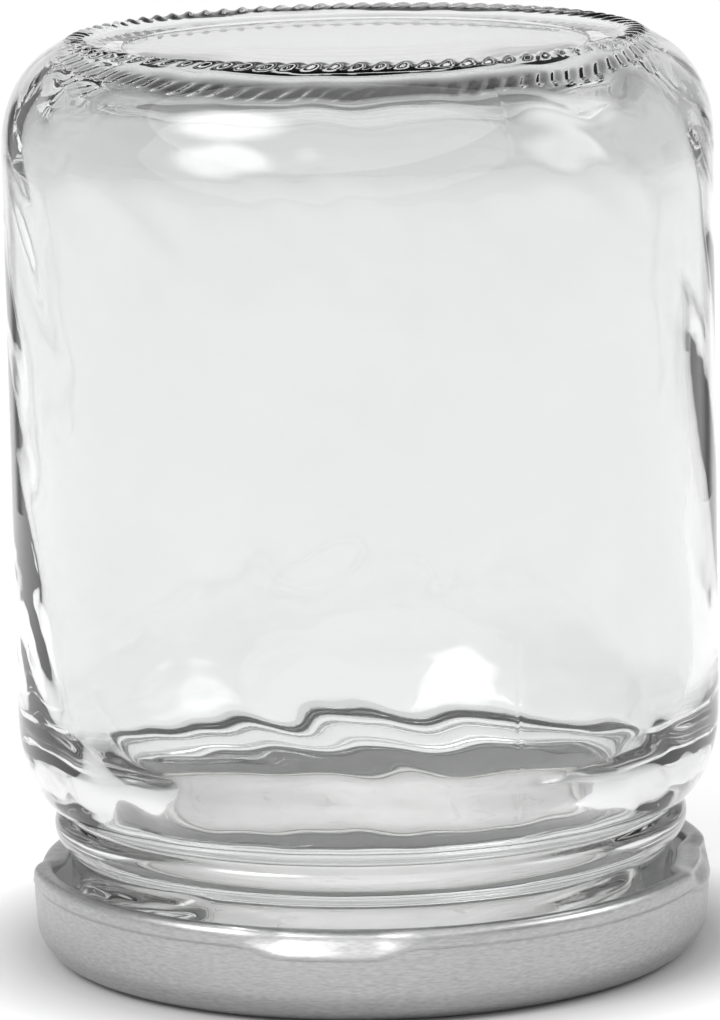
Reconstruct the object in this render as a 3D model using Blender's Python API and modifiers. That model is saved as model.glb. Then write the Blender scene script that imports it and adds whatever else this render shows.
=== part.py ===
"""Empty candle jar: a clear glass jar standing upside down on its twist-off metal lid.

Metres, +Z up. The origin is on the surface under the lid, on the axis of the jar. The front
faces -Y. The jar's mouth points down and its base is the top of the object.

Pieces: glass_jar, lid_shell (tinplate) and sealing_ring (the soft liner inside the lid).
Angles are in degrees from +X, anticlockwise seen from above. Lengths below are in millimetres.
"""
import math

import bmesh
import bpy

MM = 0.001
MERGE = 1e-6          # metres, joins the ends of a turned profile on the axis
TURN_STEPS = 72       # segments round every turned piece

# Glass jar, outside
JAR_TOP = 92.4        # height of the bearing ring, on which the jar stands when upright
BODY_R = 35.25
HEEL_A = 8.1          # radial and axial half axes of the rounded heel
HEEL_B = 10.2
HEEL_Z = 81.75
BEARING_OUT_R = 28.9
BEARING_IN_R = 27.0
BEARING_EDGE = 0.8    # the bearing ring's outer slope is this wide and drops by BEARING_DROP
BEARING_DROP = 0.75
HEEL_END_R = 30.8     # where that slope meets the heel
RECESS_R = 23.1       # floor of the push-up inside the bearing ring
RECESS_Z = 91.3
RECESS_MID_Z = 91.0
SHOULDER_A = 4.75     # radial and axial half axes of the rounded shoulder
SHOULDER_B = 9.2
SHOULDER_Z = 24.5
GROOVE_R = 31.0       # groove between the shoulder and the transfer bead
GROOVE_Z = 15.4
GROOVE_ROUND = 0.4
BEAD_R = 31.9
BEAD_Z = 13.3
BEAD_LOW_Z = 11.4
FINISH_R = 30.3       # wall between the transfer bead and the mouth
MOUTH_Z = 2.0

# Glass jar, inside
BASE_IN_Z = 89.1
WALL_IN_R = 33.6      # inside radius at the heel end of the straight wall
WALL_IN_LOW_R = 32.1  # inside radius at the shoulder end, where the wall is thicker
HEEL_IN_R = 25.6
HEEL_IN_Z = 79.5
SHOULDER_IN_Z = 27.0
BORE_R = 27.6
BORE_Z = 14.0

# Threads on the jar: four right-hand starts
STARTS = 4
THREAD_ROOT_R = 29.9  # inner side of the round thread, sunk in the wall
THREAD_RADIUS = 1.0
THREAD_TIP_RADIUS = 0.2
THREAD_HIGH_END = -33.5 - 90.0
THREAD_LENGTH = 54.0
THREAD_HIGH_Z = 10.3
THREAD_SLOPE = 0.063  # rise per degree along the main run
RAMP_LENGTH = 19.0    # steeper lead-in at the low end
RAMP_SLOPE = 0.145
THREAD_POINTS = 19

# Lid: tinplate cup with a curled rim and four lugs pressed out of the curl
TIN = 0.25
SKIRT_R = 34.12       # middle of the tinplate
SKIRT_LOW_R = 33.95
CORNER_R = 3.4
CHANNEL_OUT_R = 30.3
CHANNEL_IN_R = 28.2
PANEL_R = 26.6        # centre panel, stepped in from the channel
PANEL_STEP = 0.6
CURL_R = 0.85
CURL_Z = 8.65
CURL_SWEEP = 285.0
LUG_CENTRE = -7.5 - 90.0
LUG_HALF = 7.0        # half width of the flattened tongue
LUG_BLEND = 8.5
LUG_PUSH = 1.25       # how far the curl moves inwards at a lug
LUG_WIDEN = 0.30
LUG_FLATTEN = 0.55
LUG_RAISE = 0.15
DENT_LOW_Z = 6.0      # the skirt starts to lean inwards here under a lug

# Sealing ring in the lid's channel
RING_OUT_R = 31.3
RING_IN_R = 26.9
RING_LOW_Z = 0.56
RING_TOP_Z = 1.7
RING_EDGE = 0.35


def clear_scene():
    """Remove every object so that the script can be run again in the same file."""
    for item in list(bpy.data.objects):
        bpy.data.objects.remove(item, do_unlink=True)


def new_collection(name):
    group = bpy.data.collections.new(name)
    bpy.context.scene.collection.children.link(group)
    return group


def new_material(name, colour, roughness, metallic=0.0, transmission=0.0):
    """A Principled BSDF with one finish."""
    material = bpy.data.materials.new(name)
    material.use_nodes = True
    shader = material.node_tree.nodes["Principled BSDF"]
    shader.inputs["Base Color"].default_value = (*colour, 1.0)
    shader.inputs["Roughness"].default_value = roughness
    shader.inputs["Metallic"].default_value = metallic
    shader.inputs["Transmission Weight"].default_value = transmission
    return material


def smoothstep(value):
    value = min(max(value, 0.0), 1.0)
    return value * value * (3.0 - 2.0 * value)


def arc(centre_r, centre_z, half_r, half_z, start, end, steps):
    """Points on an ellipse from start to end degrees, measured from the outward radius."""
    points = []
    for step in range(steps + 1):
        angle = math.radians(start + (end - start) * step / steps)
        radius = centre_r + half_r * math.cos(angle)
        points.append((radius, centre_z + half_z * math.sin(angle)))
    return points


def turned_mesh(name, profile, steps=TURN_STEPS):
    """Turn a profile of (radius, height) points, in millimetres, about Z and return the object."""
    mesh = bpy.data.meshes.new(name)
    points = [(radius * MM, 0.0, height * MM) for radius, height in profile]
    edges = [(index, index + 1) for index in range(len(points) - 1)]
    mesh.from_pydata(points, edges, [])
    turned = bpy.data.objects.new(name, mesh)
    screw = turned.modifiers.new("turn", "SCREW")
    screw.axis = "Z"
    screw.steps = steps
    screw.render_steps = steps
    screw.use_merge_vertices = True
    screw.merge_threshold = MERGE
    screw.use_smooth_shade = True
    return turned


def baked_mesh(source, name):
    """The evaluated mesh of an object, with the source object removed."""
    bpy.context.view_layer.update()
    evaluated = source.evaluated_get(bpy.context.evaluated_depsgraph_get())
    mesh = bpy.data.meshes.new_from_object(evaluated)
    mesh.name = name
    bpy.data.objects.remove(source, do_unlink=True)
    return mesh


# ---------------------------------------------------------------- glass jar

def heel_outline():
    """Recess floor, bearing ring and rounded heel, from the axis outwards and down."""
    heel_centre_r = BODY_R - HEEL_A
    start = math.degrees(math.acos((HEEL_END_R - heel_centre_r) / HEEL_A))
    points = [
        (0.0, RECESS_MID_Z),
        (RECESS_R * 0.6, RECESS_MID_Z + 0.15),
        (RECESS_R, RECESS_Z),
        (RECESS_R + 1.5, RECESS_Z + 0.2),
        (BEARING_IN_R - 0.8, JAR_TOP - 0.45),
        (BEARING_IN_R, JAR_TOP),
        (BEARING_OUT_R, JAR_TOP),
        (BEARING_OUT_R + BEARING_EDGE, JAR_TOP - BEARING_DROP),
    ]
    return points + arc(heel_centre_r, HEEL_Z, HEEL_A, HEEL_B, start, 0.0, 7)


def shoulder_outline():
    """Rounded shoulder, groove, transfer bead, finish wall and rolled mouth, going down."""
    centre_r = BODY_R - SHOULDER_A
    groove_angle = -math.degrees(math.asin((SHOULDER_Z - GROOVE_Z - GROOVE_ROUND) / SHOULDER_B))
    points = arc(centre_r, SHOULDER_Z, SHOULDER_A, SHOULDER_B, 0.0, groove_angle, 7)
    points.append((GROOVE_R, GROOVE_Z))
    points += arc(BEAD_R - 1.2, BEAD_Z, 1.2, 1.75, 62.0, -62.0, 4)
    points.append((FINISH_R, BEAD_LOW_Z))
    points += arc(FINISH_R - 1.0, MOUTH_Z + 1.3, 1.0, 1.3, 0.0, -90.0, 3)
    return points


def cavity_outline():
    """Mouth, bore, inside shoulder, wall and base, from the mouth up to the axis."""
    points = arc(BORE_R + 0.7, MOUTH_Z + 0.8, 0.7, 0.8, -90.0, -180.0, 2)
    points.append((BORE_R, BORE_Z))
    steps = 5
    for step in range(1, steps + 1):
        share = step / steps
        radius = BORE_R + (WALL_IN_LOW_R - BORE_R) * smoothstep(share)
        points.append((radius, BORE_Z + (SHOULDER_IN_Z - BORE_Z) * share))
    points += arc(HEEL_IN_R, HEEL_IN_Z, WALL_IN_R - HEEL_IN_R, BASE_IN_Z - HEEL_IN_Z, 0.0, 90.0, 6)
    points.append((0.0, BASE_IN_Z))
    return points


def thread_height(angle):
    """Height of a thread's middle line, at an angle measured back from its high end."""
    main_run = THREAD_LENGTH - RAMP_LENGTH
    if angle <= main_run:
        return THREAD_HIGH_Z - THREAD_SLOPE * angle
    return THREAD_HIGH_Z - THREAD_SLOPE * main_run - RAMP_SLOPE * (angle - main_run)


def thread_radius(angle):
    """Radius of the round thread, which tapers off at both ends."""
    high_taper = smoothstep((angle + 0.5) / 5.0)
    low_taper = smoothstep((THREAD_LENGTH - angle) / 10.0)
    return THREAD_TIP_RADIUS + (THREAD_RADIUS - THREAD_TIP_RADIUS) * min(high_taper, low_taper)


def add_thread(index, cutters):
    """One thread: a round bar along a helix, half sunk in the finish wall."""
    curve = bpy.data.curves.new(f"thread_path_{index}", "CURVE")
    curve.dimensions = "3D"
    curve.bevel_depth = MM
    curve.bevel_resolution = 2
    curve.use_fill_caps = True
    spline = curve.splines.new("POLY")
    spline.points.add(THREAD_POINTS - 1)
    for number, point in enumerate(spline.points):
        back = THREAD_LENGTH * number / (THREAD_POINTS - 1)
        size = thread_radius(back)
        angle = math.radians(THREAD_HIGH_END + index * 360.0 / STARTS - back)
        middle_r = (THREAD_ROOT_R + size) * MM
        height = thread_height(back) * MM
        point.co = (middle_r * math.cos(angle), middle_r * math.sin(angle), height, 1.0)
        point.radius = size
    bar = bpy.data.objects.new(f"thread_{index}", curve)
    cutters.objects.link(bar)
    mesh = baked_mesh(bar, f"thread_{index}")
    weld_caps(mesh)
    thread = bpy.data.objects.new(f"thread_{index}", mesh)
    cutters.objects.link(thread)
    thread.hide_render = True
    thread.display_type = "WIRE"
    return thread


def weld_caps(mesh):
    """Join a curve's loose end caps to its tube."""
    work = bmesh.new()
    work.from_mesh(mesh)
    bmesh.ops.remove_doubles(work, verts=work.verts, dist=MERGE)
    bmesh.ops.recalc_face_normals(work, faces=work.faces)
    work.to_mesh(mesh)
    work.free()


def add_glass_jar(parts, cutters):
    """The jar: a turned body with four threads joined to its finish."""
    jar = turned_mesh("glass_jar", heel_outline() + shoulder_outline() + cavity_outline())
    parts.objects.link(jar)
    jar.data.materials.append(new_material("clear_glass", (0.95, 0.96, 0.96), 0.03, 0.0, 1.0))
    for index in range(STARTS):
        joint = jar.modifiers.new(f"thread_{index}", "BOOLEAN")
        joint.operation = "UNION"
        joint.solver = "EXACT"
        joint.object = add_thread(index, cutters)
    return jar


# ---------------------------------------------------------------- lid

def lid_outline():
    """Middle of the tinplate, from the centre of the panel out and up to the end of the curl."""
    half = TIN / 2
    points = [
        (0.0, half + PANEL_STEP),
        (PANEL_R - 8.0, half + PANEL_STEP),
        (PANEL_R, half + PANEL_STEP),
        (CHANNEL_IN_R - 0.6, half + 0.08),
        (CHANNEL_IN_R, half),
        (CHANNEL_OUT_R, half),
    ]
    points += arc(SKIRT_LOW_R - CORNER_R, half + CORNER_R, CORNER_R, CORNER_R, -84.0, 0.0, 4)
    points.append((SKIRT_R, DENT_LOW_Z))
    points.append((SKIRT_R, DENT_LOW_Z + 1.4))
    return points + arc(SKIRT_R - CURL_R, CURL_Z, CURL_R, CURL_R, 0.0, CURL_SWEEP, 8)


def lug_weight(angle):
    """1 on a lug's tongue and 0 away from it, for an angle in degrees from +X."""
    pitch = 360.0 / STARTS
    offset = abs((angle - LUG_CENTRE + pitch / 2) % pitch - pitch / 2)
    return 1.0 - smoothstep((offset - LUG_HALF) / LUG_BLEND)


def press_curl(radius, height, weight):
    """Flatten the curl and push it inwards by a lug's weight."""
    centre_r = SKIRT_R - CURL_R
    new_r = centre_r - LUG_PUSH * weight + (radius - centre_r) * (1.0 + LUG_WIDEN * weight)
    new_z = CURL_Z + LUG_RAISE * weight + (height - CURL_Z) * (1.0 - LUG_FLATTEN * weight)
    return new_r, new_z


def press_skirt(radius, height, weight):
    """Lean the top of the skirt inwards so that it meets the flattened curl."""
    share = weight * smoothstep((height - DENT_LOW_Z) / (CURL_Z - DENT_LOW_Z))
    edge_r, edge_z = press_curl(SKIRT_R, CURL_Z, 1.0)
    return radius + share * (edge_r - SKIRT_R), height + share * (edge_z - CURL_Z)


def press_lugs(mesh):
    """Press the four lugs out of the curled rim."""
    for vertex in mesh.vertices:
        radius = math.hypot(vertex.co.x, vertex.co.y) / MM
        height = vertex.co.z / MM
        if height <= DENT_LOW_Z:
            continue
        angle = math.atan2(vertex.co.y, vertex.co.x)
        weight = lug_weight(math.degrees(angle))
        on_skirt = height < CURL_Z and radius > SKIRT_R - 0.05
        press = press_skirt if on_skirt else press_curl
        radius, height = press(radius, height, weight)
        vertex.co = (radius * MM * math.cos(angle), radius * MM * math.sin(angle), height * MM)


def add_lid_shell(parts):
    """The lid: one thin sheet, turned, pressed and then given its thickness."""
    sheet = turned_mesh("lid_sheet", lid_outline())
    parts.objects.link(sheet)
    mesh = baked_mesh(sheet, "lid_shell")
    press_lugs(mesh)
    lid = bpy.data.objects.new("lid_shell", mesh)
    parts.objects.link(lid)
    lid.data.materials.append(new_material("satin_tinplate", (0.62, 0.62, 0.62), 0.38, 1.0))
    shell = lid.modifiers.new("thickness", "SOLIDIFY")
    shell.thickness = TIN * MM
    shell.offset = 0.0
    shell.use_even_offset = True
    return lid


def add_sealing_ring(parts):
    """The liner that lies in the lid's channel, under the rim of the jar."""
    points = [
        (RING_IN_R, RING_TOP_Z - RING_EDGE),
        (RING_IN_R + RING_EDGE, RING_TOP_Z),
        (RING_OUT_R - RING_EDGE, RING_TOP_Z),
        (RING_OUT_R, RING_TOP_Z - RING_EDGE),
        (RING_OUT_R - 0.15, RING_LOW_Z + 0.4),
        (RING_OUT_R - 0.9, RING_LOW_Z),
        (CHANNEL_IN_R, RING_LOW_Z),
        (RING_IN_R, RING_TOP_Z - RING_EDGE),
    ]
    ring = turned_mesh("sealing_ring", points)
    weld = ring.modifiers.new("close_section", "WELD")
    weld.merge_threshold = MERGE
    parts.objects.link(ring)
    ring.data.materials.append(new_material("plastisol_liner", (0.82, 0.82, 0.80), 0.55))
    return ring


def build():
    clear_scene()
    parts = new_collection("empty_candle_jar")
    cutters = new_collection("cutters")
    add_glass_jar(parts, cutters)
    add_lid_shell(parts)
    add_sealing_ring(parts)


build()
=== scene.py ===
"""Looks for the empty candle jar: a clear glass jar upside down on its satin silver twist-off lid.

Each CAD node is replaced by a finer mesh of the same outline. The jar gets its knurled bearing ring,
soft threads, mould seams and uneven inner wall. The lid gets its full curl, smoothly pressed lugs and
white lacquer inside.

Metres, +Z up. Outlines are (radius, height) in millimetres, and control points add the spacing of
the rings there. Turn angles are in degrees from the front (-Y), positive towards +X.
"""

import math

import bpy
import numpy as np
from mathutils import Matrix, Vector


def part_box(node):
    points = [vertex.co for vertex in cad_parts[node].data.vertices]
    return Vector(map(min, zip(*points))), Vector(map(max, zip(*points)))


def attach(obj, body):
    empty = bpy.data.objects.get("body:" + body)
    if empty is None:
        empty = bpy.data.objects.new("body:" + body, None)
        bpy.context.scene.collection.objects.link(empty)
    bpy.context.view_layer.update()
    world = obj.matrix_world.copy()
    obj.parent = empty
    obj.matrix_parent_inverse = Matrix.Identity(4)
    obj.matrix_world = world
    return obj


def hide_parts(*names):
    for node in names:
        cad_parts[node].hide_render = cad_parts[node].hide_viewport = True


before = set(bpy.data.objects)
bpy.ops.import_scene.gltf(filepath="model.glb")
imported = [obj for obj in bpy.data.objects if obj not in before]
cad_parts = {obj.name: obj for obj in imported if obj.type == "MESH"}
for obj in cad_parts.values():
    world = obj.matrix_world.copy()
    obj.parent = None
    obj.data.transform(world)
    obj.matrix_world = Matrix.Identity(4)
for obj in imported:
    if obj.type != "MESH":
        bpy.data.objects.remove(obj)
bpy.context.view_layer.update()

MM = 0.001

# Heights and radii that the CAD gives, in millimetres
jar_low, jar_high = (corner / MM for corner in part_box("glass_jar"))
lid_low, lid_high = (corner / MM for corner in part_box("lid_shell"))
ring_low, ring_high = (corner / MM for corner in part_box("sealing_ring"))
JAR_TOP = jar_high.z
JAR_R = jar_high.x
MOUTH_Z = jar_low.z
LID_R = lid_high.x
LID_TOP = lid_high.z
LID_LOW = lid_low.z

# Turning
RIBS = 83             # knurls round the bearing ring
COARSE_STEPS = 4 * RIBS
CURVE_STEPS = 24      # dense points between two control points
MIN_SPACING = 0.05
SEAM = 24.0           # turn angle of one mould seam; the other is opposite
SEAM_STEP = 0.18      # finer turn steps across a seam, in degrees
SEAM_SPAN = 5         # such steps on each side of a seam

# Jar: half axes (radial, axial) and centre heights of its rounded heel and shoulder
HEEL_A = 8.1
HEEL_B = 10.2
HEEL_Z = JAR_TOP - 10.65
HEEL_TOP_R = 30.8     # the heel meets the bearing ring's slope here
SHOULDER_A = 4.75
SHOULDER_B = 9.2
SHOULDER_Z = 24.5
BEAD_R = 30.7
BEAD_Z = 13.3
BORE_R = 27.6
BORE_Z = 14.0
WALL_LOW_IN_R = 32.1
SHOULDER_IN_RISE = 13.0
HEEL_IN_R = 25.8
HEEL_IN_Z = 79.5
HEEL_IN_A = 7.9
HEEL_IN_B = 9.7
FINE_DEPTH = 3.0      # the jar is finely divided this far below its top

# Unevenness of the glass, in millimetres
OUTER_WAVE = 0.025
INNER_LONG_WAVE = 0.14
INNER_WAVE = 0.06
INNER_FINE_WAVE = 0.04
SHOULDER_WAVE = 0.05
SEAM_HEIGHT = 0.015
SEAM_WIDTH = 0.4      # in degrees

# Knurled bearing ring
RIB_HEIGHT = 0.30
RIB_IN_R = 25.9
RIB_OUT_R = 29.3
RIB_FADE = 1.3
RIB_SLANT = -1.2      # degrees of turn for each millimetre outwards
RIB_SHARP = 1.4
RIB_PHASE = 0.6

# Threads on the jar
STARTS = 4
THREAD_HIGH_TURN = -33.0
THREAD_LENGTH = 54.0
THREAD_HIGH_Z = 10.2
THREAD_SLOPE = 0.063
THREAD_RAMP = 19.0
RAMP_SLOPE = 0.145
THREAD_HEIGHT = 1.55
THREAD_HALF_WIDTH = 1.45

# Lid
TIN = 0.25
CURL_R = 0.85
SKIRT_R = LID_R - TIN / 2
CURL_Z = LID_TOP - CURL_R - TIN / 2
LUG_TURN = -7.5
LUG_HALF = 7.0
LUG_BLEND = 8.5
LUG_PUSH = 1.25
LUG_WIDEN = 0.30
LUG_FLATTEN = 0.55
LUG_RAISE = 0.10
LIP_Z = 7.75          # the curl stands proud of the skirt above this height, lower at a lug
LIP_DIP = 1.0
LIP_STEP = 0.16

# Studio
ROOM = ((0.0, 0.88), (0.25, 0.85), (0.62, 0.35), (0.87, 0.06))   # sine of elevation, brightness
ROOM_FRONT = 0.4      # share of that brightness on the front side
TABLE_HALF = 6.0      # metres
TABLE_GLOW = 0.50
PAINTED_SHADOW_FULL_TO = 0.3       # painted contact shadow round the lid: the table's glow is zero out to this far outside the lid and full at the next distance
PAINTED_SHADOW_FADE_TO = 12.0
CARD_DISTANCE = 0.26  # metres
CARD_HEIGHT = 0.16
CARD_COVER = 0.85     # how solid a card is at its middle
CARDS = (("card_left", 215.0, 0.07, 0.16), ("card_right", 143.0, 0.09, 0.14))   # turn, width, grey
SOFTBOXES = (         # turn, elevation, distance, width, height, radiance
    ("softbox_left", -50.0, 42.0, 1.1, 0.80, 0.62, 9.0),
    ("softbox_right", 85.0, 36.0, 1.1, 0.80, 0.65, 5.0),
)
AIM_HEIGHT = 0.05
CAMERA_AT = (0.0, -0.5973, 0.1555)
CAMERA_LENS = 214.1
CAMERA_PITCH = 10.546
CAMERA_YAW = -0.045
CAMERA_ROLL = -1.13


# ---------------------------------------------------------------- turned meshes

def smoothstep(value):
    value = np.clip(value, 0.0, 1.0)
    return value * value * (3.0 - 2.0 * value)


def arc(centre_r, centre_z, half_r, half_z, start, end, steps, spacing):
    """Control points on an ellipse, from start to end degrees measured from the outward radius."""
    turn = np.radians(np.linspace(start, end, steps + 1))
    return [(centre_r + half_r * math.cos(a), centre_z + half_z * math.sin(a), spacing) for a in turn]


def curve_through(points, per_span=CURVE_STEPS):
    """A dense centripetal Catmull-Rom curve through control points of (radius, height, spacing)."""
    points = np.array(points, float)
    first = 2 * points[0] - points[1]
    last = 2 * points[-1] - points[-2]
    padded = np.vstack([first, points, last])
    dense = []
    for index in range(1, len(padded) - 2):
        p0, p1, p2, p3 = padded[index - 1:index + 3]
        t0 = 0.0
        t1 = t0 + np.linalg.norm((p1 - p0)[:2]) ** 0.5
        t2 = t1 + np.linalg.norm((p2 - p1)[:2]) ** 0.5
        t3 = t2 + np.linalg.norm((p3 - p2)[:2]) ** 0.5
        t = np.linspace(t1, t2, per_span, endpoint=False)[:, None]
        a1 = (t1 - t) / (t1 - t0) * p0 + (t - t0) / (t1 - t0) * p1
        a2 = (t2 - t) / (t2 - t1) * p1 + (t - t1) / (t2 - t1) * p2
        a3 = (t3 - t) / (t3 - t2) * p2 + (t - t2) / (t3 - t2) * p3
        b1 = (t2 - t) / (t2 - t0) * a1 + (t - t0) / (t2 - t0) * a2
        b2 = (t3 - t) / (t3 - t1) * a2 + (t - t1) / (t3 - t1) * a3
        dense.append((t2 - t) / (t2 - t1) * b1 + (t - t1) / (t2 - t1) * b2)
    dense.append(points[-1:])
    return np.vstack(dense)


def rings_along(points):
    """Radii and heights of the rings along an outline, placed by each control point's spacing."""
    dense = curve_through(points)
    step = np.linalg.norm(np.diff(dense[:, :2], axis=0), axis=1)
    spacing = np.maximum((dense[1:, 2] + dense[:-1, 2]) / 2, MIN_SPACING)
    count = np.concatenate([[0.0], np.cumsum(step / spacing)])
    wanted = np.linspace(0.0, count[-1], int(round(count[-1])) + 1)
    radius = np.maximum(np.interp(wanted, count, dense[:, 0]), 0.0)
    return radius, np.interp(wanted, count, dense[:, 1])


def outline_normals(radius, height):
    """Unit normals on the right-hand side of an outline, as (outward, upward) shares."""
    along_r, along_z = np.gradient(radius), np.gradient(height)
    length = np.hypot(along_r, along_z)
    return -along_z / length, along_r / length


def turn_angles():
    """Coarse turn angles, finer across the mould seams, and the fine set that halves each step."""
    angles = list(np.arange(COARSE_STEPS) * 360.0 / COARSE_STEPS - 180.0)
    for seam in (SEAM, SEAM - 180.0):
        near = seam + SEAM_STEP * np.arange(-SEAM_SPAN, SEAM_SPAN + 1)
        angles = [a for a in angles if abs(a - seam) > SEAM_STEP * (SEAM_SPAN + 2)]
        angles += list(near)
    coarse = np.sort(np.array(angles))
    following = np.append(coarse[1:], coarse[0] + 360.0)
    fine = np.empty(2 * len(coarse))
    fine[0::2] = coarse
    fine[1::2] = (coarse + following) / 2
    return coarse, fine


def ring_points(radius, height, turn):
    """World points of a grid of rings, from radius and height in millimetres."""
    angle = np.radians(turn)
    x, y = radius * np.sin(angle), -radius * np.cos(angle)
    return np.stack([x, y, np.broadcast_to(height, x.shape)], axis=-1) * MM


def grid_faces(start, rings, steps):
    """Quads between neighbouring rings of a grid whose points begin at start."""
    faces = []
    for ring in range(rings - 1):
        low = start + ring * steps
        for step in range(steps):
            after = (step + 1) % steps
            faces.append((low + step, low + after, low + steps + after, low + steps + step))
    return faces


def mesh_object(name, points, faces, flip=False):
    mesh = bpy.data.meshes.new(name)
    if flip:
        faces = [tuple(reversed(face)) for face in faces]
    mesh.from_pydata([tuple(p) for p in points], [], faces)
    mesh.update()
    mesh.shade_smooth()
    made = bpy.data.objects.new(name, mesh)
    bpy.context.scene.collection.objects.link(made)
    return made


# ---------------------------------------------------------------- glass jar

def jar_outside():
    """Recess, bearing ring, heel, wall, shoulder, groove, bead and mouth, from the axis outwards."""
    top = JAR_TOP - RIB_HEIGHT
    points = [
        (0.0, top - 1.02, 2.4), (8.0, top - 1.0, 2.2), (14.0, top - 0.97, 1.8), (19.0, top - 0.94, 1.0),
        (22.4, top - 0.92, 0.25), (22.9, top - 0.88, 0.12), (23.15, top - 0.72, 0.1),
        (23.5, top - 0.64, 0.15), (24.6, top - 0.45, 0.3),
        (26.2, top - 0.12, 0.22), (27.4, top + 0.0, 0.22), (28.2, top + 0.0, 0.2), (29.0, top - 0.22, 0.2),
        (29.8, top - 0.62, 0.25),
    ]
    start = math.degrees(math.acos((HEEL_TOP_R - (JAR_R - HEEL_A)) / HEEL_A))
    points += arc(JAR_R - HEEL_A, HEEL_Z, HEEL_A, HEEL_B, start, 0.0, 8, 0.9)
    points += [
        (JAR_R, 78.0, 2.8), (JAR_R, 70.0, 3.2), (JAR_R, 55.0, 3.2), (JAR_R, 40.0, 3.0), (JAR_R, 30.0, 2.4),
    ]
    points += arc(JAR_R - SHOULDER_A, SHOULDER_Z, SHOULDER_A, SHOULDER_B, 0.0, -66.0, 7, 0.95)
    points += [(31.35, 15.7, 0.35), (30.95, 15.2, 0.25), (31.2, 14.85, 0.25)]
    points += arc(BEAD_R, BEAD_Z, 1.2, 1.75, 45.0, -50.0, 4, 0.45)
    points += [(30.75, 11.55, 0.4), (30.35, 11.2, 0.45), (30.3, 9.0, 0.6), (30.3, 6.0, 0.7), (30.3, 4.2, 0.6)]
    points += arc(29.3, MOUTH_Z + 1.3, 1.0, 1.3, 0.0, -90.0, 4, 0.4)
    return points


def jar_inside():
    """Mouth, bore, inside shoulder, wall and base, from the mouth up to the axis."""
    points = arc(BORE_R + 0.7, MOUTH_Z + 0.8, 0.7, 0.8, -90.0, -180.0, 3, 0.4)
    points += [(BORE_R, 5.0, 1.2), (BORE_R, 9.0, 1.2), (BORE_R + 0.1, 13.0, 0.8)]
    for share in (0.2, 0.4, 0.6, 0.8, 1.0):
        radius = BORE_R + (WALL_LOW_IN_R - BORE_R) * float(smoothstep(share))
        points.append((radius, BORE_Z + SHOULDER_IN_RISE * share, 0.9))
    points += [(32.2, 35.0, 2.1), (32.8, 50.0, 2.4), (33.5, 65.0, 2.3)]
    points += arc(HEEL_IN_R, HEEL_IN_Z, HEEL_IN_A, HEEL_IN_B, 0.0, 90.0, 10, 1.1)
    points += [(16.0, 88.7, 2.2), (8.0, 88.1, 3.0), (0.0, 87.8, 3.0)]
    return points


def ribs(radius, turn):
    """Height of the slanting knurls over the bearing ring."""
    rise = smoothstep((radius - RIB_IN_R) / RIB_FADE)
    fall = 1.0 - smoothstep((radius - RIB_OUT_R) / RIB_FADE + 1.0)
    phase = np.radians(RIBS * (turn - RIB_PHASE - RIB_SLANT * (radius - 28.0)))
    return RIB_HEIGHT * rise * fall * (0.5 + 0.5 * np.cos(phase)) ** RIB_SHARP


def seam_ridge(height, turn):
    """Fine raised line where the mould halves met."""
    across = np.minimum(np.abs(turn - SEAM), np.abs(turn - (SEAM - 180.0)))
    window = smoothstep((height - 12.0) / 1.0) * smoothstep((JAR_TOP - 1.0 - height) / 3.0)
    return SEAM_HEIGHT * window * np.exp(-(across / SEAM_WIDTH) ** 2)


def thread_ridges(height, turn):
    """Four soft thread ridges that fall away from their high ends."""
    total = 0.0
    for index in range(STARTS):
        high = THREAD_HIGH_TURN + index * 360.0 / STARTS
        back = (high - turn + 40.0) % 360.0 - 40.0
        middle = THREAD_HIGH_Z - THREAD_SLOPE * np.clip(back, 0.0, THREAD_LENGTH - THREAD_RAMP)
        middle = middle - RAMP_SLOPE * np.maximum(back - (THREAD_LENGTH - THREAD_RAMP), 0.0)
        ends = smoothstep((back + 3.0) / 9.0) * smoothstep((THREAD_LENGTH - back) / 12.0)
        across = np.clip((height - middle) / THREAD_HALF_WIDTH, -1.0, 1.0)
        total = np.maximum(total, THREAD_HEIGHT * ends * (0.5 + 0.5 * np.cos(np.pi * across)))
    return total


def waves(height, turn, seed, count, turn_range, height_range):
    """Deterministic smooth unevenness between about -1 and 1."""
    random = np.random.RandomState(seed)
    total = 0.0
    for _ in range(count):
        turns = random.randint(*turn_range)
        rise = random.uniform(*height_range)
        total = total + np.cos(np.radians(turns * turn) + rise * height + random.uniform(0, 2 * np.pi))
    return total / math.sqrt(count)


def jar_grid(radius, height, inside, turn):
    """Displaced points of the jar for rings (rows) and turn angles (columns)."""
    out_r, out_z = outline_normals(radius, height)
    r, z, t = radius[:, None], height[:, None], turn[None, :]
    lift = np.zeros((len(radius), len(turn)))
    outer = ~inside
    top = outer & (height > 90.0)
    lift[top] += ribs(r[top], t)
    wall = outer & (height > 12.0) & (radius > 29.0)
    lift[wall] += seam_ridge(z[wall], t)
    lift[wall] += OUTER_WAVE * waves(z[wall], t, 5, 8, (2, 14), (0.02, 0.25))
    finish = outer & (height < 12.6)
    lift[finish] += thread_ridges(z[finish], t)
    inner = inside & (radius > 20.0)
    share = smoothstep((z[inner] - 14.0) / 10.0) * smoothstep((r[inner] - 20.0) / 8.0)
    uneven = INNER_LONG_WAVE * waves(z[inner], t, 11, 7, (1, 6), (0.02, 0.12))
    uneven = uneven + INNER_WAVE * waves(z[inner], t, 23, 9, (5, 17), (0.05, 0.35))
    low = smoothstep((z[inner] - 15.0) / 3.0) * smoothstep((28.0 - z[inner]) / 3.0)
    ripple = np.cos(2.0 * z[inner] + 2.0 * waves(z[inner], t, 41, 5, (2, 7), (0.1, 0.4)))
    uneven = uneven + SHOULDER_WAVE * low * ripple
    uneven = uneven + INNER_FINE_WAVE * waves(z[inner], t, 31, 12, (8, 36), (0.3, 1.2))
    lift[inner] += share * uneven
    return ring_points(r + out_r[:, None] * lift, z + out_z[:, None] * lift, t)


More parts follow.
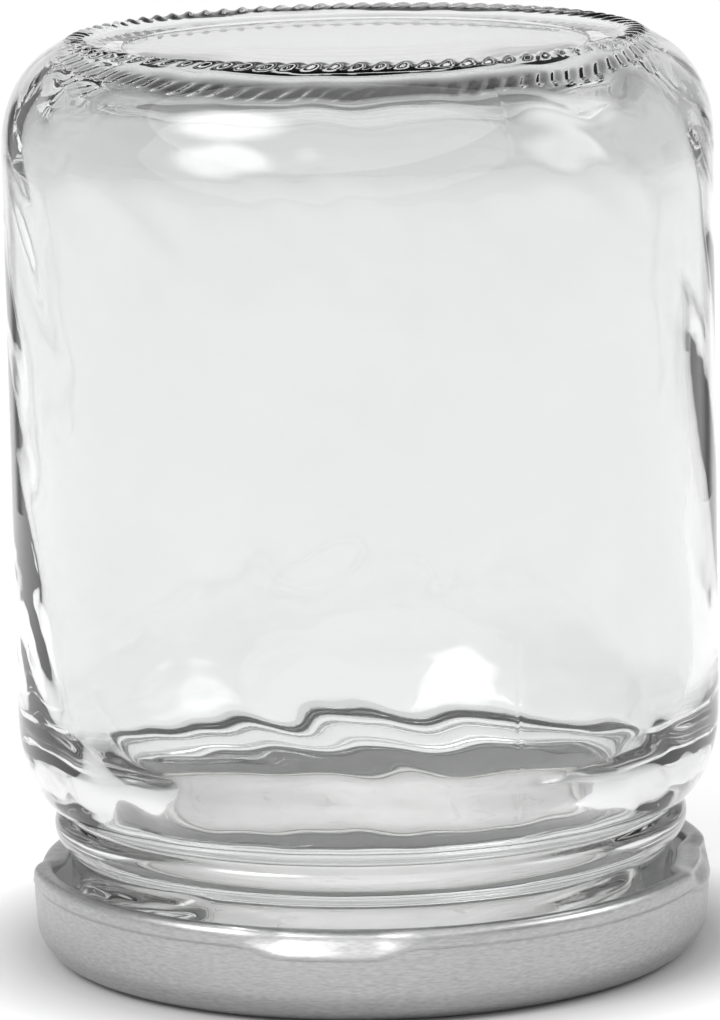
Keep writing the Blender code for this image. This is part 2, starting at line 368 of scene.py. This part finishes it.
def make_jar():
    outer_r, outer_z = rings_along(jar_outside())
    inner_r, inner_z = rings_along(jar_inside())
    radius = np.concatenate([outer_r, inner_r[1:]])
    height = np.concatenate([outer_z, inner_z[1:]])
    inside = np.arange(len(radius)) >= len(outer_r)
    coarse, fine = turn_angles()
    change = int(np.argmax((height < JAR_TOP - FINE_DEPTH) & (radius > 30.0)))
    top = jar_grid(radius, height, inside, fine)[1:change + 1]
    rest = jar_grid(radius, height, inside, coarse)[change + 1:-1]
    steps, many = len(coarse), len(fine)
    points = [top.reshape(-1, 3), rest.reshape(-1, 3)]
    rest_start = len(points[0])
    faces = grid_faces(0, len(top), many) + grid_faces(rest_start, len(rest), steps)
    last = (len(top) - 1) * many
    for step in range(steps):
        a, b, c = last + 2 * step, last + 2 * step + 1, last + (2 * step + 2) % many
        low, after = rest_start + step, rest_start + (step + 1) % steps
        faces += [(a, b, low), (b, c, after), (b, after, low)]
    poles = np.array([[0, 0, height[0] * MM], [0, 0, height[-1] * MM]])
    first_pole = rest_start + len(points[1])
    last_ring = rest_start + (len(rest) - 1) * steps
    for step in range(many):
        faces.append((first_pole, (step + 1) % many, step))
    for step in range(steps):
        faces.append((last_ring + step, last_ring + (step + 1) % steps, first_pole + 1))
    return mesh_object("jar_glass", np.vstack(points + [poles]), faces, flip=True)


# ---------------------------------------------------------------- lid and liner

def lid_middle():
    """Middle of the tinplate, from the panel's centre out and up to the wire edge of the curl."""
    half = LID_LOW + TIN / 2
    points = [
        (0.0, half + 0.6, 3.0), (14.0, half + 0.6, 2.5), (25.6, half + 0.6, 0.5), (26.3, half + 0.55, 0.25),
        (27.4, half + 0.06, 0.25), (28.2, half, 0.4), (30.3, half, 0.5),
    ]
    points += arc(SKIRT_R - 0.17 - 3.4, half + 3.4, 3.4, 3.4, -80.0, 0.0, 6, 0.35)
    points += [(SKIRT_R - 0.03, 5.6, 0.3), (SKIRT_R, 6.4, 0.14), (SKIRT_R, 7.2, 0.12)]
    points += arc(SKIRT_R - CURL_R, CURL_Z, CURL_R, CURL_R, 0.0, 300.0, 14, 0.14)
    return points


def lug_weight(turn):
    """1 on a lug's tongue and 0 away from it."""
    pitch = 360.0 / STARTS
    offset = np.abs((turn - LUG_TURN + pitch / 2) % pitch - pitch / 2)
    return 1.0 - smoothstep((offset - LUG_HALF) / LUG_BLEND)


def press_lugs(radius, height, on_skirt, turn):
    """Lean the skirt inwards and flatten the curl at each lug."""
    weight = lug_weight(turn)
    centre_r = SKIRT_R - CURL_R
    curl_r = centre_r - LUG_PUSH * weight + (radius - centre_r) * (1.0 + LUG_WIDEN * weight)
    curl_z = CURL_Z + LUG_RAISE * weight + (height - CURL_Z) * (1.0 - LUG_FLATTEN * weight)
    edge_r = centre_r - LUG_PUSH + CURL_R * (1.0 + LUG_WIDEN)
    edge_z = CURL_Z + LUG_RAISE
    lip = LIP_Z - LIP_DIP * weight
    share = weight * smoothstep((height - lip) / (CURL_Z - lip))
    skirt_r = radius + share * (edge_r - SKIRT_R) - LIP_STEP * smoothstep((lip + 0.22 - height) / 0.44)
    skirt_z = height + share * (edge_z - CURL_Z)
    return np.where(on_skirt, skirt_r, curl_r), np.where(on_skirt, skirt_z, curl_z)


def make_lid():
    radius, height = rings_along(lid_middle())
    coarse, _ = turn_angles()
    on_skirt = np.arange(len(radius)) < int(np.argmax(height >= CURL_Z))
    r, z = press_lugs(radius[:, None], height[:, None], on_skirt[:, None], coarse[None, :])
    middle = ring_points(r, z, coarse[None, :])
    along = np.gradient(middle, axis=0)
    around = np.roll(middle, -1, axis=1) - np.roll(middle, 1, axis=1)
    normal = np.cross(along, around)
    normal /= np.maximum(np.linalg.norm(normal, axis=2, keepdims=True), 1e-12)
    if normal[5, 0, 2] > 0:
        normal = -normal
    normal[0] = (0.0, 0.0, -1.0)
    outer = middle + normal * TIN / 2 * MM
    inner = 2 * middle - outer
    loop = np.concatenate([outer[1:], inner[:0:-1]])
    rings, steps = loop.shape[:2]
    faces = grid_faces(0, rings, steps)
    poles = np.array([outer[0, 0], inner[0, 0]])
    last = (rings - 1) * steps
    for step in range(steps):
        after = (step + 1) % steps
        faces.append((rings * steps, after, step))
        faces.append((last + step, last + after, rings * steps + 1))
    lid = mesh_object("lid_tinplate", np.vstack([loop.reshape(-1, 3), poles]), faces)
    lid.data.materials.append(tinplate_material())
    lid.data.materials.append(lacquer_material())
    inside_from = (len(radius) - 1) * steps
    for face in lid.data.polygons:
        if min(face.vertices) >= inside_from and face.index != rings * steps:
            face.material_index = 1
    return lid


def make_liner():
    """The soft ring in the lid's channel, with a dip where the jar's rim rests."""
    low, high = ring_low.z - 0.25, ring_high.z
    out_r, in_r = ring_high.x + 0.3, 26.9
    points = [
        (in_r, low + 0.75, 0.3), (in_r + 0.1, high - 0.25, 0.2), (in_r + 0.5, high, 0.2),
        (28.6, high - 0.06, 0.4), (29.4, high - 0.16, 0.3), (30.2, high - 0.06, 0.4),
        (out_r - 0.6, high, 0.2), (out_r - 0.1, high - 0.3, 0.2), (out_r - 0.25, low + 0.6, 0.3),
        (out_r - 1.1, low + 0.05, 0.3), (28.4, low, 0.5), (in_r + 0.15, low + 0.45, 0.3),
        (in_r, low + 0.75, 0.3),
    ]
    radius, height = rings_along(points)
    radius, height = radius[:-1], height[:-1]
    coarse, _ = turn_angles()
    grid = ring_points(radius[:, None], height[:, None], coarse[None, :])
    rings, steps = grid.shape[:2]
    faces = grid_faces(0, rings, steps)
    for step in range(steps):
        after = (step + 1) % steps
        faces.append(((rings - 1) * steps + step, (rings - 1) * steps + after, after, step))
    return mesh_object("liner_ring", grid.reshape(-1, 3), faces, flip=True)


# ---------------------------------------------------------------- materials

def new_material(name):
    material = bpy.data.materials.new(name)
    material.use_nodes = True
    return material, material.node_tree.nodes, material.node_tree.links


def noise_node(nodes, links, scale, detail, stretch=(1.0, 1.0, 1.0)):
    """A noise texture on object coordinates in millimetres."""
    place = nodes.new("ShaderNodeTexCoord")
    mapping = nodes.new("ShaderNodeMapping")
    mapping.inputs["Scale"].default_value = tuple(1000.0 * s for s in stretch)
    noise = nodes.new("ShaderNodeTexNoise")
    noise.inputs["Scale"].default_value = scale
    noise.inputs["Detail"].default_value = detail
    links.new(place.outputs["Object"], mapping.inputs["Vector"])
    links.new(mapping.outputs["Vector"], noise.inputs["Vector"])
    return noise


def map_range(nodes, links, source, low, high):
    node = nodes.new("ShaderNodeMapRange")
    node.inputs["From Min"].default_value = 0.3
    node.inputs["From Max"].default_value = 0.7
    node.inputs["To Min"].default_value = low
    node.inputs["To Max"].default_value = high
    links.new(source, node.inputs["Value"])
    return node.outputs["Result"]


def mix_colours(nodes, links, source, dark, light):
    ramp = nodes.new("ShaderNodeValToRGB")
    ramp.color_ramp.elements[0].position = 0.3
    ramp.color_ramp.elements[1].position = 0.7
    ramp.color_ramp.elements[0].color = (*dark, 1.0)
    ramp.color_ramp.elements[1].color = (*light, 1.0)
    links.new(source, ramp.inputs["Fac"])
    return ramp.outputs["Color"]


def bump(nodes, links, source, strength, distance):
    node = nodes.new("ShaderNodeBump")
    node.inputs["Strength"].default_value = strength
    node.inputs["Distance"].default_value = distance
    links.new(source, node.inputs["Height"])
    return node.outputs["Normal"]


def glass_material():
    material, nodes, links = new_material("clear_glass")
    shader = nodes["Principled BSDF"]
    shader.inputs["Transmission Weight"].default_value = 1.0
    shader.inputs["IOR"].default_value = 1.52
    tint = noise_node(nodes, links, 0.05, 2.0)
    links.new(mix_colours(nodes, links, tint.outputs["Fac"], (0.83, 0.835, 0.835), (0.85, 0.855, 0.855)),
              shader.inputs["Base Color"])
    haze = noise_node(nodes, links, 0.12, 3.0)
    links.new(map_range(nodes, links, haze.outputs["Fac"], 0.0, 0.02), shader.inputs["Roughness"])
    ripple = noise_node(nodes, links, 0.14, 1.5)
    links.new(bump(nodes, links, ripple.outputs["Fac"], 0.25, 0.0001), shader.inputs["Normal"])
    return material


def tinplate_material():
    material, nodes, links = new_material("satin_tinplate")
    shader = nodes["Principled BSDF"]
    shader.inputs["Metallic"].default_value = 1.0
    brushed = noise_node(nodes, links, 1.0, 6.0, (1.2, 1.2, 6.0))
    cloud = noise_node(nodes, links, 0.18, 3.0)
    links.new(mix_colours(nodes, links, brushed.outputs["Fac"], (0.36, 0.36, 0.365), (0.48, 0.48, 0.48)),
              shader.inputs["Base Color"])
    links.new(map_range(nodes, links, cloud.outputs["Fac"], 0.30, 0.40), shader.inputs["Roughness"])
    links.new(bump(nodes, links, brushed.outputs["Fac"], 0.2, 0.00004), shader.inputs["Normal"])
    return material


def lacquer_material():
    material, nodes, links = new_material("white_lacquer")
    shader = nodes["Principled BSDF"]
    cloud = noise_node(nodes, links, 0.3, 3.0)
    links.new(mix_colours(nodes, links, cloud.outputs["Fac"], (0.80, 0.80, 0.79), (0.86, 0.86, 0.85)),
              shader.inputs["Base Color"])
    links.new(map_range(nodes, links, cloud.outputs["Fac"], 0.25, 0.4), shader.inputs["Roughness"])
    links.new(bump(nodes, links, cloud.outputs["Fac"], 0.1, 0.0001), shader.inputs["Normal"])
    return material


def liner_material():
    material, nodes, links = new_material("plastisol_liner")
    shader = nodes["Principled BSDF"]
    cloud = noise_node(nodes, links, 0.6, 3.0)
    links.new(mix_colours(nodes, links, cloud.outputs["Fac"], (0.74, 0.74, 0.72), (0.82, 0.82, 0.80)),
              shader.inputs["Base Color"])
    links.new(map_range(nodes, links, cloud.outputs["Fac"], 0.45, 0.6), shader.inputs["Roughness"])
    links.new(bump(nodes, links, cloud.outputs["Fac"], 0.2, 0.0001), shader.inputs["Normal"])
    return material


# ---------------------------------------------------------------- studio

def make_floor():
    mesh = bpy.data.meshes.new("floor")
    half = TABLE_HALF
    corners = [(-half, -half, 0), (half, -half, 0), (half, half, 0), (-half, half, 0)]
    mesh.from_pydata(corners, [], [(0, 1, 2, 3)])
    floor = bpy.data.objects.new("floor", mesh)
    bpy.context.scene.collection.objects.link(floor)
    floor.location.z = LID_LOW * MM - 0.0001
    material, nodes, links = new_material("white_table")
    shader = nodes["Principled BSDF"]
    grain = noise_node(nodes, links, 0.02, 3.0)
    links.new(mix_colours(nodes, links, grain.outputs["Fac"], (0.49, 0.49, 0.49), (0.51, 0.51, 0.51)),
              shader.inputs["Base Color"])
    shader.inputs["Roughness"].default_value = 0.9
    shader.inputs["Specular IOR Level"].default_value = 0.0
    shader.inputs["Emission Color"].default_value = (1.0, 1.0, 1.0, 1.0)
    place = nodes.new("ShaderNodeTexCoord")
    distance = nodes.new("ShaderNodeVectorMath")
    distance.operation = "LENGTH"
    links.new(place.outputs["Object"], distance.inputs[0])
    # Painted contact shadow: the floor's glow is zero next to the lid and rises to full strength further out,
    # so the floor is darker round the lid
    glow_painted_shadow = nodes.new("ShaderNodeMapRange")
    glow_painted_shadow.inputs["From Min"].default_value = (LID_R + PAINTED_SHADOW_FULL_TO) * MM
    glow_painted_shadow.inputs["From Max"].default_value = (LID_R + PAINTED_SHADOW_FADE_TO) * MM
    glow_painted_shadow.inputs["To Min"].default_value = 0.0
    glow_painted_shadow.inputs["To Max"].default_value = TABLE_GLOW
    links.new(distance.outputs["Value"], glow_painted_shadow.inputs["Value"])
    links.new(glow_painted_shadow.outputs["Result"], shader.inputs["Emission Strength"])
    mesh.materials.append(material)


def add_card(name, azimuth, width, grey):
    """A grey card with faded sides, standing behind the jar, that darkens the edges of the glass."""
    half = width / 2
    mesh = bpy.data.meshes.new(name)
    corners = [(-half, 0, 0), (half, 0, 0), (half, 0, CARD_HEIGHT), (-half, 0, CARD_HEIGHT)]
    mesh.from_pydata(corners, [], [(0, 1, 2, 3)])
    card = bpy.data.objects.new(name, mesh)
    bpy.context.scene.collection.objects.link(card)
    angle = math.radians(azimuth)
    card.location = (CARD_DISTANCE * math.sin(angle), -CARD_DISTANCE * math.cos(angle), 0.0)
    card.rotation_euler = (0.0, 0.0, angle)
    material, nodes, links = new_material(name)
    shader = nodes["Principled BSDF"]
    shader.inputs["Base Color"].default_value = (grey, grey, grey, 1.0)
    shader.inputs["Roughness"].default_value = 0.9
    shader.inputs["Specular IOR Level"].default_value = 0.0
    place = nodes.new("ShaderNodeTexCoord")
    split = nodes.new("ShaderNodeSeparateXYZ")
    side = nodes.new("ShaderNodeMath")
    side.operation = "ABSOLUTE"
    fade = nodes.new("ShaderNodeMapRange")
    fade.interpolation_type = "SMOOTHSTEP"
    fade.inputs["From Max"].default_value = half
    fade.inputs["To Min"].default_value = CARD_COVER
    fade.inputs["To Max"].default_value = 0.0
    links.new(place.outputs["Object"], split.inputs["Vector"])
    links.new(split.outputs["X"], side.inputs[0])
    links.new(side.outputs["Value"], fade.inputs["Value"])
    links.new(fade.outputs["Result"], shader.inputs["Alpha"])
    mesh.materials.append(material)
    card.visible_camera = card.visible_diffuse = card.visible_shadow = False


def soften_edges(light):
    """Fade a rectangular light towards its edges, as a diffuser does."""
    light.use_nodes = True
    nodes, links = light.node_tree.nodes, light.node_tree.links
    place = nodes.new("ShaderNodeNewGeometry")
    centred = nodes.new("ShaderNodeVectorMath")
    centred.operation = "MULTIPLY_ADD"
    centred.inputs[1].default_value = (2.0, 2.0, 0.0)
    centred.inputs[2].default_value = (-1.0, -1.0, 0.0)
    length = nodes.new("ShaderNodeVectorMath")
    length.operation = "LENGTH"
    fade = nodes.new("ShaderNodeMapRange")
    fade.interpolation_type = "SMOOTHSTEP"
    fade.inputs["From Min"].default_value = 0.45
    fade.inputs["From Max"].default_value = 1.1
    fade.inputs["To Min"].default_value = 1.0
    fade.inputs["To Max"].default_value = 0.0
    links.new(place.outputs["Parametric"], centred.inputs[0])
    links.new(centred.outputs["Vector"], length.inputs[0])
    links.new(length.outputs["Value"], fade.inputs["Value"])
    links.new(fade.outputs["Result"], nodes["Emission"].inputs["Strength"])


def add_softbox(name, azimuth, elevation, distance, width, height, radiance):
    """A rectangular area light aimed at the jar."""
    data = bpy.data.lights.new(name, "AREA")
    data.shape = "RECTANGLE"
    data.size, data.size_y = width, height
    data.energy = radiance * math.pi * width * height
    soften_edges(data)
    light = bpy.data.objects.new(name, data)
    bpy.context.scene.collection.objects.link(light)
    az, el = math.radians(azimuth), math.radians(elevation)
    direction = Vector((math.sin(az) * math.cos(el), -math.cos(az) * math.cos(el), math.sin(el)))
    target = Vector((0.0, 0.0, AIM_HEIGHT))
    light.location = target + direction * distance
    light.rotation_euler = direction.to_track_quat("Z", "Y").to_euler()
    return light


def add_overhead(azimuth, elevation, spread, strength):
    """A very wide even light from above, like a white ceiling."""
    data = bpy.data.lights.new("overhead", "SUN")
    data.angle = math.radians(spread)
    data.energy = strength
    light = bpy.data.objects.new("overhead", data)
    bpy.context.scene.collection.objects.link(light)
    az, el = math.radians(azimuth), math.radians(elevation)
    direction = Vector((math.sin(az) * math.cos(el), -math.cos(az) * math.cos(el), math.sin(el)))
    light.rotation_euler = direction.to_track_quat("Z", "Y").to_euler()


def add_fill(height, size, radiance):
    """A small soft light over the lid's panel, in place of the daylight that passes through the glass.

    It stays where it is when the jar lifts.
    """
    data = bpy.data.lights.new("fill", "AREA")
    data.shape = "DISK"
    data.size = size
    data.energy = radiance * math.pi * math.pi * size * size / 4
    light = bpy.data.objects.new("fill", data)
    bpy.context.scene.collection.objects.link(light)
    light.location = (0.0, 0.0, height)
    light.visible_camera = light.visible_glossy = light.visible_transmission = False


def make_world():
    """A plain room: a bright wall low down behind, darker overhead and on the front side."""
    world = bpy.data.worlds.new("studio")
    world.use_nodes = True
    nodes, links = world.node_tree.nodes, world.node_tree.links
    shade = nodes["Background"]
    place = nodes.new("ShaderNodeTexCoord")
    split = nodes.new("ShaderNodeSeparateXYZ")
    links.new(place.outputs["Generated"], split.inputs["Vector"])
    rise = nodes.new("ShaderNodeValToRGB")
    stops = rise.color_ramp.elements
    while len(stops) < len(ROOM):
        stops.new(1.0)
    for stop, (sine, grey) in zip(stops, ROOM):
        stop.position = sine
        stop.color = (grey, grey, grey, 1.0)
    links.new(split.outputs["Z"], rise.inputs["Fac"])
    depth = nodes.new("ShaderNodeMapRange")
    depth.inputs["From Min"].default_value = -0.8
    depth.inputs["From Max"].default_value = 0.2
    depth.inputs["To Min"].default_value = ROOM_FRONT
    depth.inputs["To Max"].default_value = 1.0
    links.new(split.outputs["Y"], depth.inputs["Value"])
    links.new(rise.outputs["Color"], shade.inputs["Color"])
    links.new(depth.outputs["Result"], shade.inputs["Strength"])
    bpy.context.scene.world = world


def place_camera():
    """A telephoto view from slightly above."""
    pitch, yaw, roll = (math.radians(a) for a in (CAMERA_PITCH, CAMERA_YAW, CAMERA_ROLL))
    forward = Vector((math.sin(yaw) * math.cos(pitch), math.cos(yaw) * math.cos(pitch), -math.sin(pitch)))
    right = Vector((math.cos(yaw), -math.sin(yaw), 0.0))
    up = right.cross(forward)
    right_rolled = math.cos(roll) * right + math.sin(roll) * up
    up_rolled = math.cos(roll) * up - math.sin(roll) * right
    turn = Matrix((right_rolled, up_rolled, -forward)).transposed().to_4x4()
    data = bpy.data.cameras.new("camera")
    data.lens = CAMERA_LENS
    data.sensor_fit = "AUTO"
    data.clip_start = 0.01
    camera = bpy.data.objects.new("camera", data)
    bpy.context.scene.collection.objects.link(camera)
    camera.matrix_world = Matrix.Translation(CAMERA_AT) @ turn
    bpy.context.scene.camera = camera


def build():
    jar, lid, liner = make_jar(), make_lid(), make_liner()
    dressed = (
        (jar, "jar", "glass_jar", "clear_glass", glass_material()),
        (lid, "lid", "lid_shell", "satin_tinplate", None),
        (liner, "liner", "sealing_ring", "plastisol_liner", liner_material()),
    )
    for piece, body, node, slot, material in dressed:
        if material:
            piece.data.materials.append(material)
        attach(piece, body)
        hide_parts(node)
    make_floor()
    make_world()
    for card in CARDS:
        add_card(*card)
    for softbox in SOFTBOXES:
        add_softbox(*softbox)
    add_overhead(azimuth=-15.0, elevation=52.0, spread=100.0, strength=2.4)
    add_fill(height=0.03, size=0.036, radiance=2.0)
    place_camera()
    scene = bpy.context.scene
    scene.view_settings.view_transform = "Standard"
    scene.cycles.max_bounces = 24
    scene.cycles.transmission_bounces = 24
    scene.cycles.glossy_bounces = 12


build()
